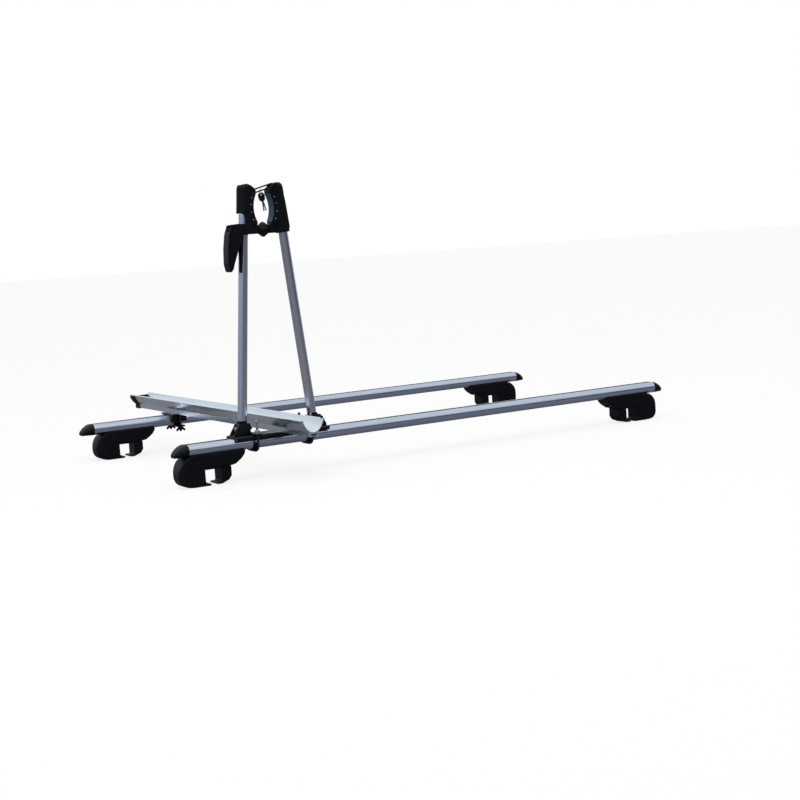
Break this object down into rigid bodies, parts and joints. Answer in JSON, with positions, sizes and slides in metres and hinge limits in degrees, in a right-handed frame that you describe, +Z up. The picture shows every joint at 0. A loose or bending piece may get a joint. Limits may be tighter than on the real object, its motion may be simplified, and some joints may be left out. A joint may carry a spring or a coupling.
{
  "type": "roof mounted bike carrier",
  "caption": "Roof bike carrier on crossbars with clamped rail feet: upright A-frame with a cam-lever frame jaw and a long aluminium wheel tray.",
  "frame": {"origin": "middle of the footprint, at the underside of the rail feet", "axes": "+X along the crossbars, +Y from the front bar to the rear bar, +Z up"},
  "size_m": [1.414, 1.104, 0.678],
  "materials": {
    "bar_aluminium": "satin",
    "tube_aluminium": "satin",
    "tray_aluminium": "satin",
    "black_plastic": "fine grain",
    "black_rubber": "matte",
    "pad_rubber": "matte",
    "black_steel": "satin black",
    "zinc_steel": "zinc plated",
    "lock_metal": "brushed",
    "key_plastic": "satin",
    "key_metal": "polished"
  },
  "bodies": {
    "frame": {"front_bar": "bar_aluminium", "rear_bar": "bar_aluminium", "slot_strips": "black_rubber", "end_caps": "black_plastic", "front_left_foot_body": "black_plastic", "front_left_foot_cover": "black_plastic", "front_right_foot_body": "black_plastic", "front_right_foot_cover": "black_plastic", "rear_left_foot_body": "black_plastic", "rear_left_foot_cover": "black_plastic", "rear_right_foot_body": "black_plastic", "rear_right_foot_cover": "black_plastic", "foot_bolts": "zinc_steel", "rail_pads": "black_rubber", "base_saddle": "black_steel", "left_foot_bracket": "black_steel", "right_foot_bracket": "black_steel", "u_bolts": "zinc_steel", "u_bolt_pads": "black_rubber", "u_bolt_nuts": "zinc_steel", "clamp_plates": "black_steel", "left_pivot_bolt": "zinc_steel", "wheel_tray": "tray_aluminium", "tray_end_cap": "black_plastic", "tray_bolts": "zinc_steel", "strap_buttons": "black_plastic", "rear_clamp_saddle": "black_steel"},
    "front_left_jaw": {"front_left_rail_jaw": "black_plastic"},
    "front_right_jaw": {"front_right_rail_jaw": "black_plastic"},
    "rear_left_jaw": {"rear_left_rail_jaw": "black_plastic"},
    "rear_right_jaw": {"rear_right_rail_jaw": "black_plastic"},
    "left_hand_nut": {"left_hand_nut": "zinc_steel"},
    "right_hand_nut": {"right_hand_nut": "zinc_steel"},
    "front_wing_nut": {"front_wing_nut": "black_plastic"},
    "rear_wing_nut": {"rear_wing_nut": "black_plastic"},
    "left_arm": {"left_tube": "tube_aluminium", "left_tube_foot": "black_plastic", "left_jaw": "black_plastic", "left_jaw_pad": "pad_rubber", "left_jaw_screws": "zinc_steel", "left_link_sleeve": "black_plastic", "cam_seat": "black_plastic", "latch_pin": "zinc_steel"},
    "right_pivot": {"right_pivot_bolt": "zinc_steel"},
    "right_arm": {"right_tube": "tube_aluminium", "right_tube_foot": "black_plastic", "right_jaw": "black_plastic", "right_jaw_pad": "pad_rubber", "right_jaw_screws": "zinc_steel", "right_link_sleeve": "black_plastic"},
    "draw_rod": {"draw_rod": "zinc_steel", "lever_pin": "zinc_steel"},
    "knob": {"adjusting_knob": "black_plastic"},
    "lever": {"clamp_lever": "black_plastic"},
    "strap": {"latch_strap": "black_steel", "latch_catch": "lock_metal"},
    "keys": {"key_ring": "key_metal", "key_bows": "key_plastic", "key_blades": "key_metal"},
    "lock": {"lock_barrel": "lock_metal"}
  },
  "joints": [
    {"name": "front_left_jaw_slide", "type": "slide", "parent": "frame", "child": "front_left_jaw", "axis": [1, 0, 0], "range_m": [0, 0.024]},
    {"name": "front_right_jaw_slide", "type": "slide", "parent": "frame", "child": "front_right_jaw", "axis": [-1, 0, 0], "range_m": [0, 0.024]},
    {"name": "rear_left_jaw_slide", "type": "slide", "parent": "frame", "child": "rear_left_jaw", "axis": [1, 0, 0], "range_m": [0, 0.024]},
    {"name": "rear_right_jaw_slide", "type": "slide", "parent": "frame", "child": "rear_right_jaw", "axis": [-1, 0, 0], "range_m": [0, 0.024]},
    {"name": "left_hand_nut_turn", "type": "hinge", "parent": "frame", "child": "left_hand_nut", "pos_m": [-0.51, -0.402, 0.111], "axis": [0, 0, 1], "continuous": true},
    {"name": "right_hand_nut_turn", "type": "hinge", "parent": "frame", "child": "right_hand_nut", "pos_m": [-0.37, -0.402, 0.111], "axis": [0, 0, 1], "continuous": true},
    {"name": "front_wing_nut_turn", "type": "hinge", "parent": "frame", "child": "front_wing_nut", "pos_m": [-0.44, 0.252, 0.062], "axis": [0, 0, 1], "continuous": true},
    {"name": "rear_wing_nut_turn", "type": "hinge", "parent": "frame", "child": "rear_wing_nut", "pos_m": [-0.44, 0.324, 0.062], "axis": [0, 0, 1], "continuous": true},
    {"name": "left_arm_fold", "type": "hinge", "parent": "frame", "child": "left_arm", "pos_m": [-0.5314, -0.367, 0.118], "axis": [-1, 0, 0], "range_deg": [0, 82]},
    {"name": "right_arm_fold", "type": "hinge", "parent": "frame", "child": "right_pivot", "pos_m": [-0.3486, -0.367, 0.118], "axis": [-1, 0, 0], "range_deg": [0, 82]},
    {"name": "draw_rod_slide", "type": "slide", "parent": "left_arm", "child": "draw_rod", "axis": [1, 0, 0], "range_m": [0, 0.00638]},
    {"name": "lever_throw", "type": "hinge", "parent": "draw_rod", "child": "lever", "pos_m": [-0.517, -0.367, 0.5715], "axis": [0, 1, 0], "range_deg": [0, 95]},
    {"name": "right_arm_swing", "type": "hinge", "parent": "right_pivot", "child": "right_arm", "pos_m": [-0.3486, -0.367, 0.118], "axis": [0, 1, 0], "range_deg": [0, 0.81]},
    {"name": "knob_turn", "type": "hinge", "parent": "draw_rod", "child": "knob", "pos_m": [-0.44, -0.367, 0.5715], "axis": [1, 0, 0], "continuous": true},
    {"name": "strap_lift", "type": "hinge", "parent": "left_arm", "child": "strap", "pos_m": [-0.465, -0.367, 0.657], "axis": [0, -1, 0], "range_deg": [0, 20]},
    {"name": "keys_hang", "type": "hinge", "parent": "strap", "child": "keys", "pos_m": [-0.438, -0.367, 0.66192], "axis": [0, -1, 0], "range_deg": [-21, 0]},
    {"name": "lock_turn", "type": "hinge", "parent": "right_arm", "child": "lock", "pos_m": [-0.407, -0.375, 0.659], "axis": [0, 1, 0], "range_deg": [0, 90]}
  ],
  "couplings": [
    {"joint": "right_arm_fold", "follows": "left_arm_fold", "ratio": 1},
    {"joint": "draw_rod_slide", "follows": "lever_throw", "m_per_rad": 0.0038197},
    {"joint": "right_arm_swing", "follows": "lever_throw", "ratio": 0.008423},
    {"joint": "keys_hang", "follows": "strap_lift", "ratio": -1}
  ]
}
